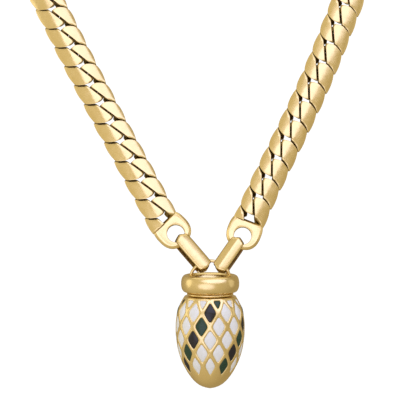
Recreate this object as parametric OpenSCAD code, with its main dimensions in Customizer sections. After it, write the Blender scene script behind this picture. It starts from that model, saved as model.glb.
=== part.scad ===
// Flat curb chain necklace with an enamelled lozenge drop, as it sits round a neck.
// Millimetres. The origin is at the nape, inside the clasp. Front is -Y, up is +Z.

/* [Chain] */
// Width of the flat curb chain
chain_width = 7.9; // [7.4:0.1:8.1]
// Links on each side, with the two that are soldered to the fittings
links_per_side = 38; // [37:1:38]
// Half length of a link, along its own long axis
link_half_length = 3.42; // [3.3:0.02:3.5]
// Half width of a link, between its two long sides
link_half_width = 2.89; // [2.85:0.01:2.9]
// Lean of a link's long axis from the chain's axis, in degrees
link_lean = 23.6; // [23:0.2:24]
// Height of a link's twist above the chain's middle plane
link_twist = 1.73; // [1.7:0.01:1.75]
// Height of the flats that are cut on the chain's two faces
flat_height = 1.45; // [1.4:0.01:1.5]
// Width of a link's wire on its two long sides
petal_width = 3.4; // [3.3:0.05:3.4]
// Width of a link's wire at its two ends
wire_end_width = 1.74; // [1.6:0.02:1.76]
// Thickness of a link's wire
wire_thickness = 1.22; // [1.1:0.02:1.24]

/* [Lie of the necklace] */
// Backward slope of the front of the chain, in degrees
chest_slope = 15; // [10:1:20]
// Distance of the swing axis in front of the nape
swing_front = 104; // [100:1:110]
// Drop of the swing axis below the nape
swing_drop = 112; // [108:1:116]
// How far the pendant hangs to the right of the middle
pendant_offset = 3.1; // [2.5:0.1:3.5]
// Lean of the left arm of the chain from upright, in degrees
left_lean = 27.4; // [27:0.1:28.4]
// Lean of the right arm of the chain from upright, in degrees
right_lean = 23.8; // [23.4:0.1:24.6]
// Outward bow of the left arm, halfway up
left_bow = 0.45; // [0:0.05:1]
// Outward bow of the right arm, halfway up
right_bow = 1.05; // [0:0.05:1.2]
// Roll of the left connector about its own length, in degrees
left_roll = 12; // [0:1:12]
// Roll of the right connector about its own length, in degrees
right_roll = 9; // [0:1:10]

/* [Fittings] */
// Width of an end cap
cap_width = 8.7; // [8.2:0.1:8.9]
// Length of an end cap
cap_length = 7.5; // [7.2:0.1:7.6]
// Radius of the round hole in an end cap
cap_hole_r = 2.2; // [2.1:0.05:2.25]
// Width of a connector's strip
strip_width = 3.5; // [3.2:0.1:3.6]
// Thickness of a connector's strip
strip_thickness = 0.7; // [0.6:0.05:0.75]
// Front to back size of a connector
connector_depth = 4.4; // [4.2:0.1:4.8]
// Radius of the jump ring, to the middle of its wire
ring_r = 5.05; // [5:0.05:5.1]
// Radius of the jump ring's wire
ring_wire_r = 0.36; // [0.32:0.02:0.38]
// Length of the clasp
clasp_length = 11.2; // [11:0.1:11.6]

/* [Pendant] */
// Width of the oval cap ring on top of the drop
cap_ring_width = 14.6; // [14.4:0.1:14.8]
// Front to back size of the cap ring
cap_ring_depth = 11; // [10.8:0.1:11.2]
// Height of the cap ring's tube
cap_ring_height = 4.3; // [4.2:0.1:4.4]
// Greatest width of the drop
drop_width = 17.4; // [17:0.1:17.8]
// Depth of the drop, as a share of its width
drop_flatness = 0.72; // [0.68:0.01:0.76]
// Lozenge columns round the drop
columns = 12; // [12:6:18]
// Width of the gold lines between the lozenges
line_width = 0.8; // [0.7:0.05:0.9]
// Depth of the enamel beds
bed_depth = 0.7; // [0.6:0.05:0.8]
// Gap between the enamel and its gold bed
enamel_gap = 0.15; // [0.14:0.01:0.17]

/* [Hidden] */
gold = [0.9, 0.76, 0.47];
left = -1;
right = 1;
pivot = [pendant_offset, -swing_front, -swing_drop];

// Link: its shape along and across the wire
ring_count = 12;
wire_sides = 6;
link_skew = -0.41;
link_roundness = 2.29;
twist_shift = -35.3;
twist_sharpness = 1.52;
petal_power = 4.3;
flat_slope = 0.3;
flat_half_width = 1.15;
flat_crown = 0.05;

// Fittings: the middle of each end cap's straight edge, seen square to the chest, from the pivot
left_cap_edge = [-11.55, 10.6];
right_cap_edge = [9.7, 10.9];
left_cap_angle = -46;
right_cap_angle = -112;
cap_hole_x = 4.25;
cap_middle = 2.9;
cap_roundness = 2.5;
cap_steps = 28;
cap_thickness = 1.6;
cap_rim = 0.6;
cap_edge_thickness = 0.8;
solder_reach = 1.2;
solder_depth = 0.5;
seat_gap = 0.35;
ring_centre_z = -4.3;
left_contact_x = -2.3;
right_contact_x = 3.1;
// Room past the ring's wire, which crosses each strip at its own slant
left_wire_room = 1.25;
right_wire_room = 0.95;
// A connector's narrow end, which passes through the hole in the cap, and the bends of its strip
strip_end_width = 2.4;
strip_shoulder = 0.6;
strip_bend_r = 1;

// Neck: the arm's top, and the pulls of the curve from there round to the nape
arm_top = 78;
arm_pull = 45;
nape_pull = 50;
nape_dip = -4;
nape_back = 1.6;
turn_start = 58;
normal_lift = tan(chest_slope);
curve_steps = 48;

function unit(v) = v / norm(v);
function tanh(x) = (exp(2 * x) - 1) / (exp(2 * x) + 1);
function power(x, p) = sign(x) * pow(abs(x), p);

// A point on the chest: x from the pivot, h up the slope, d out to the front
function chest(x, h, d = 0) = pivot
    + [x, h * sin(chest_slope) - d * cos(chest_slope), h * cos(chest_slope) + d * sin(chest_slope)];

// The way of each side of the chain: an arm with a slight bow, then one cubic curve to the nape
function cap_edge(side) = side == left ? left_cap_edge : right_cap_edge;
function arm_slope(side) = tan(side == left ? left_lean : right_lean) * side;
function arm_bow(side) = [side * (side == left ? left_bow : right_bow), 0, 0];
function arm_point(side, h) = chest(cap_edge(side).x + (h - cap_edge(side).y) * arm_slope(side), h);
function arm_foot(side) = arm_point(side, cap_edge(side).y + solder_reach * cos(left_lean));
function arm_head(side) = arm_point(side, arm_top);
function arm_way(side) = unit(arm_head(side) - arm_foot(side));
function nape_end(side) = [side * (clasp_length / 2 + solder_reach), nape_back, 0];
function curve_points(side) = [
    arm_head(side),
    arm_head(side) + arm_pull * arm_way(side),
    nape_end(side) + [side * nape_pull, 0, nape_dip],
    nape_end(side)
];
function curve_at(p, t) = pow(1 - t, 3) * p[0] + 3 * t * pow(1 - t, 2) * p[1]
    + 3 * t * t * (1 - t) * p[2] + pow(t, 3) * p[3];
function curve_way(p, t) = unit(pow(1 - t, 2) * (p[1] - p[0])
    + 2 * t * (1 - t) * (p[2] - p[1]) + t * t * (p[3] - p[2]));
function curve_step(p, i) = norm(curve_at(p, (i + 1) / curve_steps) - curve_at(p, i / curve_steps));
function length_table(p) = [
    for (i = 0, s = 0; i <= curve_steps; s = s + curve_step(p, i), i = i + 1) [s, i / curve_steps]
];
left_curve = curve_points(left);
right_curve = curve_points(right);
left_table = length_table(left_curve);
right_table = length_table(right_curve);
function side_curve(side) = side == left ? left_curve : right_curve;
function side_table(side) = side == left ? left_table : right_table;
function arm_length(side) = norm(arm_head(side) - arm_foot(side));
function side_length(side) = arm_length(side) + side_table(side)[curve_steps][0];
function way_point(side, s) = s < arm_length(side)
    ? arm_foot(side) + s * arm_way(side) + arm_bow(side) * pow(sin(180 * s / arm_length(side)), 2)
    : curve_at(side_curve(side), lookup(s - arm_length(side), side_table(side)));
function way_along(side, s) = s < arm_length(side)
    ? unit(arm_way(side) + arm_bow(side) * PI / arm_length(side) * sin(360 * s / arm_length(side)))
    : curve_way(side_curve(side), lookup(s - arm_length(side), side_table(side)));
// The flat of the chain faces the front on the chest and turns by even steps to face the back
function turn(side, s) = 180 * max(0, (s - turn_start) / (side_length(side) - turn_start));
function outward(side, s) = let (a = turn(side, s)) [side * sin(a), -cos(a), normal_lift];
function way_normal(side, s) = let (t = way_along(side, s), n = outward(side, s)) unit(n - (n * t) * t);

// One link in its own place: x across the chain, y along it away from the pendant, z out of its face
function link_axis(t) =
    let (u = link_half_length * power(cos(t), 2 / link_roundness),
         v = link_half_width * power(sin(t), 2 / link_roundness),
         w = u + link_skew * v)
    [w * sin(link_lean) + v * cos(link_lean), v * sin(link_lean) - w * cos(link_lean),
     -link_twist * tanh(twist_sharpness * sin(2 * (t - twist_shift))) / tanh(twist_sharpness)];
function flat_limit(x) = flat_height - flat_slope * max(0, abs(x) - flat_half_width);
// Presses what stands past a limit back to it, and leaves the flat a very slight crown
function press(v, limit) = sign(v) * (min(abs(v), limit) + flat_crown * max(0, abs(v) - limit));
function trim(p) = let (x = press(p.x, chain_width / 2)) [x, p.y, press(p.z, flat_limit(x))];
function link_ring(t) =
    let (way = unit(link_axis(t + 1.2) - link_axis(t - 1.2)),
         flat = unit([way.y, -way.x, 0]),
         rise = cross(way, flat),
         width = wire_end_width + (petal_width - wire_end_width) * pow(abs(sin(t)), petal_power),
         corner = 2 * cos(180 / wire_sides))
    [for (i = [0 : wire_sides - 1]) let (a = (i + 0.5) * 360 / wire_sides)
        trim(link_axis(t) + flat * width * cos(a) / corner + rise * wire_thickness * sin(a) / corner)];
link_points = [for (j = [0 : ring_count - 1]) each link_ring((j + 0.5) * 360 / ring_count)];

// Faces of a closed tube of n rings of m points, each four-sided patch as two triangles
function tube_faces(n, m) = [
    for (j = [0 : n - 1], i = [0 : m - 1])
        let (a = j * m + i, b = ((j + 1) % n) * m + i,
             c = ((j + 1) % n) * m + (i + 1) % m, d = j * m + (i + 1) % m)
        each [[a, b, c], [a, c, d]]
];

module link(side, k) {
    s = k * side_length(side) / (links_per_side - 1);
    along = way_along(side, s);
    face = way_normal(side, s);
    across = cross(along, face);
    centre = way_point(side, s);
    polyhedron([for (p = link_points) centre + p.x * across + p.y * along + p.z * face],
               tube_faces(ring_count, wire_sides));
}

module chain(side) {
    for (k = [1 : links_per_side - 2]) link(side, k);
}
module chain_left() { color(gold) chain(left); }
module chain_right() { color(gold) chain(right); }

// Places things drawn flat in x and y onto the sloping front, with z out to the viewer
module on_chest(x, h, angle) {
    translate(chest(x, h)) rotate([90 - chest_slope, 0, 0]) rotate([0, 0, angle]) children();
}

// End cap: a D-shaped plate with a sloping rim and a round hole, and half a link soldered to it
function cap_outline(inset) =
    let (half_x = cap_length - cap_middle - inset,
         half_y = cap_width / 2 - inset,
         last = 180 - acos(pow((cap_middle - inset) / half_x, cap_roundness / 2)))
    [for (i = [0 : cap_steps]) let (a = last * (2 * i / cap_steps - 1))
        [cap_middle + half_x * power(cos(a), 2 / cap_roundness), half_y * power(sin(a), 2 / cap_roundness)]];
module cap_plate() {
    difference() {
        hull() {
            translate([0, 0, -cap_thickness / 2]) linear_extrude(cap_thickness) polygon(cap_outline(cap_rim));
            translate([0, 0, -cap_edge_thickness / 2]) linear_extrude(cap_edge_thickness)
                polygon(cap_outline(0));
        }
        translate([cap_hole_x, 0, -cap_thickness]) cylinder(h = 2 * cap_thickness, r = cap_hole_r, $fn = 64);
    }
}
module end_cap(side, angle) {
    edge = cap_edge(side);
    on_chest(edge.x, edge.y, angle) cap_plate();
    intersection() {
        link(side, 0);
        on_chest(edge.x, edge.y, angle) translate([-10 + solder_depth, 0, 0]) cube(20, center = true);
    }
}
module end_cap_left() { color(gold) end_cap(left, left_cap_angle); }
module end_cap_right() { color(gold) end_cap(right, right_cap_angle); }

// Connector: a strip bent to a long closed loop through an end cap's hole and round the jump ring
function hole_place(side, angle) = cap_edge(side) + cap_hole_x * [cos(angle), sin(angle)];
function contact_place(x) = [x, ring_centre_z + sqrt(ring_r * ring_r - x * x)];
module loop_outline(from, to, half, r) {
    for (u = [from + r, to - r], z = [r - half, half - r]) translate([u, z]) circle(r = r, $fn = 32);
    translate([from + r, -half]) square([to - from - 2 * r, 2 * half]);
    translate([from, r - half]) square([to - from, 2 * (half - r)]);
}
// The strip's two edges rest in the hole, and its far end rests on the wire
module connector(side, angle, contact_x, wire_room, roll) {
    hole = hole_place(side, angle);
    reach = contact_place(contact_x) - hole;
    narrow = strip_end_width / 2;
    wide = strip_width / 2;
    inner_from = sqrt(pow(cap_hole_r - seat_gap, 2) - pow(narrow, 2));
    inner_to = norm(reach) + ring_wire_r + wire_room;
    outer_from = inner_from - strip_thickness;
    outer_to = inner_to + strip_thickness;
    half = connector_depth / 2;
    shoulder = inner_from + strip_shoulder;
    on_chest(hole.x, hole.y, atan2(reach.y, reach.x)) rotate([roll, 0, 0]) intersection() {
        rotate([90, 0, 0]) translate([0, 0, -wide]) linear_extrude(strip_width) difference() {
            loop_outline(outer_from, outer_to, half, strip_bend_r);
            loop_outline(inner_from, inner_to, half - strip_thickness, strip_bend_r - strip_thickness);
        }
        translate([0, 0, -connector_depth]) linear_extrude(2 * connector_depth)
            polygon([[outer_from, -narrow], [inner_from, -narrow], [shoulder, -wide],
                     [outer_to - strip_shoulder, -wide], [outer_to, -narrow], [outer_to, narrow],
                     [outer_to - strip_shoulder, wide], [shoulder, wide], [inner_from, narrow],
                     [outer_from, narrow]]);
    }
}
module connector_left() {
    color(gold) connector(left, left_cap_angle, left_contact_x, left_wire_room, -left_roll);
}
module connector_right() {
    color(gold) connector(right, right_cap_angle, right_contact_x, right_wire_room, right_roll);
}

// Clasp: a plain closed box at the nape, with the last link of each side soldered in
module clasp() {
    half = chain_width / 2 + 0.2;
    depth = 2 * nape_back;
    corner = 0.5;
    color(gold) {
        translate([-clasp_length / 2, 0, 0]) rotate([0, 90, 0]) linear_extrude(clasp_length)
            polygon([[-half, corner], [corner - half, 0], [half - corner, 0], [half, corner],
                     [half, depth - corner], [half - corner, depth], [corner - half, depth],
                     [-half, depth - corner]]);
        for (side = [left, right]) intersection() {
            link(side, links_per_side - 1);
            translate([side * (clasp_length / 2 - solder_depth + 10), 0, 0]) cube(20, center = true);
        }
    }
}

// Pendant: everything below hangs upright from the swing axis
leg_angle = 14;
ring_floor_z = -5.95;
ring_floor_x = 3.9;
cap_ring_z = -4.95;
cap_ring_wall = 2.2;
bar_r = 0.55;
bar_z = -4.8;
collar_top = -7.25;
collar_height = 0.75;
collar_width = 11.7;
drop_top = -8.15;

// Jump ring: a round wire whose hidden foot runs straight under the cross bar
ring_arc_steps = 20;
ring_sides = 8;
ring_floor_steps = 4;
ring_path = concat(
    [for (j = [0 : ring_arc_steps]) let (a = leg_angle + j * (180 - 2 * leg_angle) / ring_arc_steps)
        [ring_r * cos(a), ring_centre_z + ring_r * sin(a)]],
    [for (j = [0 : ring_floor_steps]) [ring_floor_x * (2 * j / ring_floor_steps - 1), ring_floor_z]]);
ring_steps = len(ring_path);
ring_points = [
    for (j = [0 : ring_steps - 1])
        let (way = ring_path[(j + 1) % ring_steps] - ring_path[(j + ring_steps - 1) % ring_steps],
             out = [way.y, -way.x] / norm(way))
        for (i = [0 : ring_sides - 1])
            let (b = (i + 0.5) * 360 / ring_sides, p = ring_path[j] + out * ring_wire_r * cos(b))
            pivot + [p.x, ring_wire_r * sin(b), p.y]
];
module jump_ring() { color(gold) polyhedron(ring_points, tube_faces(ring_steps, ring_sides)); }

// Cap ring: a fat oval tube lying level, with the hidden cross bar that the jump ring hangs on
cap_ring_steps = 28;
cap_ring_sides = 10;
cap_ring_points = [
    for (j = [0 : cap_ring_steps - 1])
        let (a = j * 360 / cap_ring_steps,
             rx = (cap_ring_width - cap_ring_wall) / 2,
             ry = (cap_ring_depth - cap_ring_wall) / 2,
             out = unit([cos(a) / rx, sin(a) / ry, 0]),
             middle = [rx * cos(a), ry * sin(a), cap_ring_z])
        for (i = [0 : cap_ring_sides - 1])
            let (b = (i + 0.5) * 360 / cap_ring_sides)
            pivot + middle + out * cap_ring_wall / 2 * cos(b) - [0, 0, cap_ring_height / 2 * sin(b)]
];
module cap_ring() {
    bar = cap_ring_depth - cap_ring_wall;
    color(gold) {
        polyhedron(cap_ring_points, tube_faces(cap_ring_steps, cap_ring_sides));
        translate(pivot + [0, bar / 2, bar_z]) rotate([90, 0, 0]) cylinder(h = bar, r = bar_r, $fn = 32);
    }
}

// Collar: a thin oval step between the cap ring and the drop
module collar() {
    steps = 36;
    half = collar_width / 2;
    color(gold) translate(pivot + [0, 0, collar_top - collar_height]) linear_extrude(collar_height)
        polygon([for (i = [0 : steps - 1]) let (a = i * 360 / steps)
            [half * cos(a), half * drop_flatness * sin(a)]]);
}

// Drop: rows of lozenges round an oval drop. Height below its top, half width as a share of the greatest
drop_profile = [
    // depth, half width
    [0, 0.74],
    [1.6, 0.845],
    [3.4, 0.94],
    [6, 0.985],
    [8.8, 1],
    [11.4, 0.975],
    [14, 0.915],
    [16.4, 0.83],
    [18.6, 0.705],
    [20.6, 0.555],
    [21.6, 0.455],
    [22.8, 0.27],
    [23.5, 0]
];
rows = 6;
row_height = 3.43;
half_cell_share = 2 / 3;
function drop_half(z) = drop_width / 2 * lookup(z, drop_profile);
function skin(a, z) = pivot + [drop_half(z) * sin(a), -drop_half(z) * drop_flatness * cos(a), drop_top - z];
function inward(a) = unit([-sin(a) * drop_flatness, cos(a), 0]);
step = 360 / columns;
function corner(row, k) = skin((k + (row % 2) / 2) * step, row * row_height);
// The corners of a lozenge whose middle lies on a row: left, top, right and bottom, or three at the ends
function upper(row, k) = [row - 1, (k + row % 2) % columns];
function lower(row, k) = [row + 1, (k + row % 2) % columns];
function cell_keys(row, k) = [
    [row, k],
    if (row > 0) upper(row, k),
    [row, (k + 1) % columns],
    if (row < rows) lower(row, k)
];
function cell_angle(row, k) = (k + 0.5 + (row % 2) / 2) * step;
function cell_depth(row) = row == 0 ? row_height / 3 : row * row_height;
// The middle of a cell, sunk under the skin
function cell_middle(row, k, sunk) = let (a = cell_angle(row, k))
    skin(a, cell_depth(row)) + sunk * inward(a);
// Pulls a cell's corners in by a margin and sinks them under the skin
function shrink(row, k, margin, sunk) =
    let (c = cell_middle(row, k, 0),
         keys = cell_keys(row, k),
         across = norm(corner(row, k) - corner(row, (k + 1) % columns)) / 2,
         inner = across * row_height / norm([across, row_height]) * (len(keys) == 3 ? half_cell_share : 1),
         share = 1 - margin / inner)
    [for (key = keys) c + (corner(key[0], key[1]) - c) * share + sunk * inward(cell_angle(row, k))];
cells = [for (row = [0 : rows - 1], k = [0 : columns - 1]) [row, k]];

corner_points = [for (row = [0 : rows], k = [0 : columns - 1]) corner(row, k)];
cell_points = [for (c = cells) let (rim = shrink(c[0], c[1], line_width / 2, 0),
                                    bed = shrink(c[0], c[1], line_width / 2, bed_depth))
    each concat(rim, len(rim) == 3 ? [rim[0]] : [], bed, len(bed) == 3 ? [bed[0]] : [],
                [cell_middle(c[0], c[1], bed_depth)])];
nose_depths = [21.6, 22.8];
tip_depth = 23.5;
nose_points = [for (z = nose_depths, k = [0 : columns - 1]) skin((k + (rows % 2) / 2) * step, z)];
tip_points = [pivot + [0, 0, drop_top - tip_depth], pivot + [0, 0, drop_top]];
cell_start = len(corner_points);
nose_start = cell_start + len(cell_points);
tip_start = nose_start + len(nose_points);
function cell_faces(n) =
    let (row = cells[n][0], k = cells[n][1], keys = cell_keys(row, k), m = len(keys),
         rim = cell_start + 9 * n, bed = rim + 4, middle = rim + 8)
    [for (i = [0 : m - 1])
        let (j = (i + 1) % m, a = keys[i][0] * columns + keys[i][1], b = keys[j][0] * columns + keys[j][1])
        each [[a, b, rim + j], [a, rim + j, rim + i],
              [rim + i, rim + j, bed + j], [rim + i, bed + j, bed + i], [bed + i, bed + j, middle]]];
function band_faces(upper_start, lower_start) = [
    for (k = [0 : columns - 1]) let (n = (k + 1) % columns)
        each [[upper_start + k, upper_start + n, lower_start + n],
              [upper_start + k, lower_start + n, lower_start + k]]
];
drop_faces = concat(
    [for (n = [0 : len(cells) - 1]) each cell_faces(n)],
    [for (k = [0 : columns - 1]) [for (key = cell_keys(rows, k)) key[0] * columns + key[1]]],
    band_faces(rows * columns, nose_start),
    band_faces(nose_start, nose_start + columns),
    [for (k = [0 : columns - 1]) let (last = nose_start + columns)
        [last + k, last + (k + 1) % columns, tip_start]],
    [for (k = [0 : columns - 1]) [(k + 1) % columns, k, tip_start + 1]]);
module drop_body() {
    color(gold) polyhedron(concat(corner_points, cell_points, nose_points, tip_points), drop_faces);
}

// Enamel: a thin tile in each bed. Every third band that winds round the drop is green and black in turn
function band(row, k) = (2 * k + row % 2 + row) / 2;
function cross_band(row, k) = (2 * k + row % 2 - row) / 2 + rows;
function tile_colour(row, k) = band(row, k) % 3 != 0 ? 0 : cross_band(row, k) % 2 == 0 ? 1 : 2;
module tile(row, k) {
    margin = line_width / 2 + enamel_gap;
    face = shrink(row, k, margin, 0);
    back = shrink(row, k, margin, bed_depth - enamel_gap);
    m = len(face);
    polyhedron(concat(face, back, [cell_middle(row, k, 0), cell_middle(row, k, bed_depth - enamel_gap)]),
        [for (i = [0 : m - 1]) let (j = (i + 1) % m)
            each [[i, j, 2 * m], [m + j, m + i, 2 * m + 1], [j, i, m + i], [j, m + i, m + j]]]);
}
module enamel(which) {
    for (c = cells) if (tile_colour(c[0], c[1]) == which) tile(c[0], c[1]);
}
module enamel_white() { color([0.93, 0.93, 0.95]) enamel(0); }
module enamel_green() { color([0.13, 0.3, 0.2]) enamel(1); }
module enamel_black() { color([0.12, 0.12, 0.14]) enamel(2); }

chain_left();
chain_right();
end_cap_left();
end_cap_right();
connector_left();
connector_right();
clasp();
jump_ring();
cap_ring();
collar();
drop_body();
enamel_white();
enamel_green();
enamel_black();
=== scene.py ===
"""A flat curb chain necklace with an enamelled drop, dressed in polished gold round its CAD frame.

The shapes are worked out in millimetres, in the necklace's own frame: the origin is at the nape,
-Y is the front and +Z is up. Each mesh is written in metres.
"""

from math import acos, atan2, cos, hypot, pi, radians, sin, sqrt, tan, tanh

import bmesh
import bpy
import numpy as np
from bpy.props import FloatProperty, FloatVectorProperty, IntProperty, PointerProperty
from bpy.types import Operator, Panel, PropertyGroup
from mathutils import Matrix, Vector


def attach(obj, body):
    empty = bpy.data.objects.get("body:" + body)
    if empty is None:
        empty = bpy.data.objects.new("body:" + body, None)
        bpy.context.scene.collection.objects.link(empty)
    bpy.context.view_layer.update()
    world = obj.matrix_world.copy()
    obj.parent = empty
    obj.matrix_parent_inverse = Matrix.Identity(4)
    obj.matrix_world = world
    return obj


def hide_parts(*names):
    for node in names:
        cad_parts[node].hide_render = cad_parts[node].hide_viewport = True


bl_info = {
    "name": "Curb Chain Necklace",
    "version": (1, 0, 0),
    "blender": (4, 5, 0),
    "location": "3D View > Sidebar > Necklace",
    "description": "Builds a gold curb chain necklace with an enamelled drop",
    "category": "Add Mesh",
}

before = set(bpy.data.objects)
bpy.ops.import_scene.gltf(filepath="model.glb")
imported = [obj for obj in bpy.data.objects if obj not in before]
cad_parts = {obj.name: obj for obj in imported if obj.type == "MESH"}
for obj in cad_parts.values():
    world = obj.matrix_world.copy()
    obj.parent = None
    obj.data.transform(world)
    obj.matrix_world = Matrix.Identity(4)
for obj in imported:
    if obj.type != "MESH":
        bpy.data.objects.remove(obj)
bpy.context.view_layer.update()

MM = 0.001
MERGE_DISTANCE = 0.002
LEFT, RIGHT = -1, 1
SIDE_NAMES = {LEFT: "left", RIGHT: "right"}

# Where the pendant swings, and how the front of the chain slopes back
SWING_AXIS = np.array([3.1, -104.0, -112.0])
CHEST_SLOPE = radians(15)

# The middle of each end cap's straight edge, seen square to the chest, and the turn of the cap
CAP_EDGE = {LEFT: (-11.55, 10.6), RIGHT: (9.7, 10.9)}
CAP_TURN = {LEFT: radians(-46), RIGHT: radians(-112)}
SOLDER_REACH = 1.2
SOLDER_DEPTH = 0.5

# An end cap's plate. The rim and the hole's lip are pairs of a distance from the outline or the hole and a
# height from the edge's or the plate's own half thickness.
CAP_HOLE_X = 4.25
CAP_MIDDLE = 2.9
CAP_ROUNDNESS = 2.5
CAP_RIM = 0.6
CAP_THICKNESS = 1.6
CAP_EDGE_THICKNESS = 0.8
RIM_FOOT = [(0, -0.1), (0.02, -0.03), (0.07, 0.06)]
RIM_TOP = [(CAP_RIM - 0.08, -0.09), (CAP_RIM, -0.02)]
FACE_FROM_RIM = 0.08
FACE_FROM_HOLE = 0.14
FACE_CROWN = 0.07
FACE_CROWN_Y = 4
HOLE_LIP = [(0.05, -0.04), (0, -0.16), (0, -0.3)]
# Painted shade on the last rings down the hole's wall
HOLE_SHADE = [0.25, 0.7]

# The way of each side of the chain
ARM_LEAN = {LEFT: radians(27.4), RIGHT: radians(23.8)}
ARM_BOW = {LEFT: 0.45, RIGHT: 1.05}
ARM_TOP = 78
ARM_PULL = 45
NAPE_PULL = 50
NAPE_DIP = -4
NAPE_BACK = 1.6
TURN_START = 58
CURVE_STEPS = 48

# The way of one link's wire round the link, and the wire's own section
LINK_SKEW = -0.41
LINK_ROUNDNESS = 2.29
TWIST_SHIFT = radians(-35.3)
TWIST_SHARPNESS = 1.52
WAY_NUDGE = 0.02
WIRE_SQUARENESS = 0.8
HALF_WIDTH_SHARE = 0.53
HALF_THICKNESS_SHARE = 0.56
END_FULLNESS = 1.06
PETAL_POWER = 4.3
SMOOTHING = 0.3
SMOOTHING_ROUNDS = 2

# The petals that a link shows. A pair named ALONG, ACROSS or UP gives where a change starts, or where it ends
# for one that falls, and its length: along the wire from the middle of a long side, across the chain, or up
# from its middle plane.
PETAL_FILL = 0.6
FILL_MIDDLE = radians(10)
FILL_ALONG = (radians(70), radians(40))
PETAL_TRIM = 0.12
TRIM_ALONG = (radians(10), radians(30))
TIP_REACH = 1.25
TIP_ACROSS = (2.0, 1.9)
TIP_ALONG = (radians(8), radians(38))
TIP_UP = (-0.6, 0.5)
HEEL_REACH = 1.15
HEEL_WAY = np.array([-0.92, 0.4])
HEEL_ALONG = (radians(5), radians(40))
HEEL_UP = (0.1, 0.4)
PARTING = np.array([0.9, 0.434])
PARTING_PLACE = np.array([0, 2.75])
PARTING_GAP = 0.07
PARTING_CHAMFER = 0.18
PARTING_SOFTNESS = 0.05
CHAMFER_UP = (0.8, 0.6)
OUTER_GAIN = 0.4
HOLE_SIDE = np.array([-0.207, 0.978])
HOLE_PLACE = 4.85
HOLE_SOFTNESS = 0.1
HOLE_UP = (-0.8, 0.5)

# The flat faces and scalloped edges that the links are pressed to. Each press gives how far before its limit
# it begins and the softness of its corner. The other pairs are again a start and a length.
PRESS_STRENGTH = 0.97
FACE_PRESS = (0.03, 0.1)
EDGE_PRESS = (0.05, 0.15)
FLAT_SLOPE = 0.3
FLAT_HALF_WIDTH = 1.15
FLAT_CORNER = 0.07
EDGE_SLOPE = 0.35
EDGE_FROM_X = 3.1
EDGE_CORNER = 0.2
CREST_Y = 1.5
OUTER_CREST_Y = 0.2
OUTER_SPREAD = 0.3
SPREAD_ACROSS = (2, 1.5)
HALF_PITCH = 2.7
NOTCH_DEPTH = 0.32
NOTCH_LIMIT = 1.3
# Painted shade between the links: it darkens the wire from a depth below its flat face and fades out near the
# outer edges
PAINTED_SHADE_DOWN = (0.02, 0.24)
PAINTED_SHADE_ACROSS = (3.5, 0.45)

# The clasp's box
CLASP_MARGIN = 0.2
CLASP_ROUNDING = 0.55

# The jump ring, by its heights below the swing axis
RING_CENTRE_Z = -4.3
RING_CONTACT_X = {LEFT: -2.3, RIGHT: 3.1}
LEG_ANGLE = radians(14)
RING_FLOOR_Z = -5.95
RING_FLOOR_X = 3.9

# The strips that the jump ring hangs in: their seats and bends, then the barrel shape and ridge of their
# faces. The widths across a strip run from -1 to 1.
WIRE_ROOM = {LEFT: 1.25, RIGHT: 0.95}
STRIP_ROLL = {LEFT: radians(-12), RIGHT: radians(9)}
SEAT_GAP = 0.35
STRIP_BEND_R = 1.0
STRIP_END_WIDTH = 2.4
STRIP_SHOULDER = 0.6
TOP_DEPTH = 0.9
BARREL_REACH = 2.4
BARREL_END = 0.35
RIDGE_FALL = 0.4
RIDGE_ROUNDING = 0.01
STRIP_CROWN = 0.1
STRIP_EDGE_FALL = 0.12
STRIP_EDGE_FROM = 0.84
STRIP_EDGE_CORNER = 0.03
END_ARCH = 0.5
ARCH_UP = (0.6, 0.8)
# Painted shade on the strips' end bends and on their inner faces
END_SHADE_FROM = 0.05
END_SHADE_LENGTH = 0.45
INNER_CROWN = 0.04
INNER_INSET = 0.05
INNER_SHADE = 0.5
TOP_POINTS = 17
INNER_POINTS = 5

# The oval cap ring and its cross bar, which flares into the ring, and the collar's rounded edges as pairs of
# an inset and a fall from its top or a rise from its foot
CAP_RING_Z = -4.95
CAP_RING_WALL = 2.2
TUBE_SQUARENESS = 0.94
BAR_R = 0.55
BAR_Z = -4.8
BAR_FLARE = [(-1, 0.3), (-0.9, 0.12), (-0.8, 0), (0.8, 0), (0.9, 0.12), (1, 0.3)]
COLLAR_TOP = -7.25
COLLAR_HEIGHT = 0.75
COLLAR_WIDTH = 11.7
COLLAR_UPPER_EDGE = [(1.2, 0), (0.5, 0.03), (0.2, 0.12), (0.04, 0.25), (0, 0.38)]
COLLAR_LOWER_EDGE = [(0.04, 0.22), (0.14, 0.1), (0.35, 0.02), (1.2, 0)]

# The drop: its profile as depths and shares of its half width, then its lattice. The lines' edges and the
# tiles' domes are pairs of a share of the way and a height over the drop's skin.
DROP_TOP = -8.15
DROP_PROFILE = [(0, 0.74), (1.6, 0.845), (3.4, 0.94), (6, 0.985), (8.8, 1), (11.4, 0.975), (14, 0.915),
                (16.4, 0.83), (18.6, 0.705), (20.6, 0.555), (21.6, 0.455), (22.8, 0.27), (23.5, 0)]
TIP_DEPTH = 23.5
TIP_STEEPNESS = 1.6
SLOPE_NUDGE = 0.05
ROWS = 6
ROW_HEIGHT = 3.43
NOSE_DEPTHS = [*np.linspace(ROWS * ROW_HEIGHT + 0.4, TIP_DEPTH - 0.6, 6), TIP_DEPTH - 0.3, TIP_DEPTH - 0.1]
SIDE_POINTS = 8
CORNER_ROUNDS = 6
LINE_EDGE = [(0, 0), (0.55, -0.02), (0.9, -0.07), (1, -0.12)]
WALL_SHARE = 0.985
BED_SHARE = 0.6
TOP_BAND_SHARE = 0.9
TILE_SHARE = 0.99
TILE_CLEARANCE = 0.03
TILE_DOME = [(1, -0.15), (0.94, -0.11), (0.8, -0.07), (0.55, -0.03), (0.28, -0.01)]

# How far the gold's roughness and the enamel's colours vary
WEAR_SPREAD = 0.25
CLOUD_SPREAD = 0.03
CLOUD_LIFT = 0.002

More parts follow.
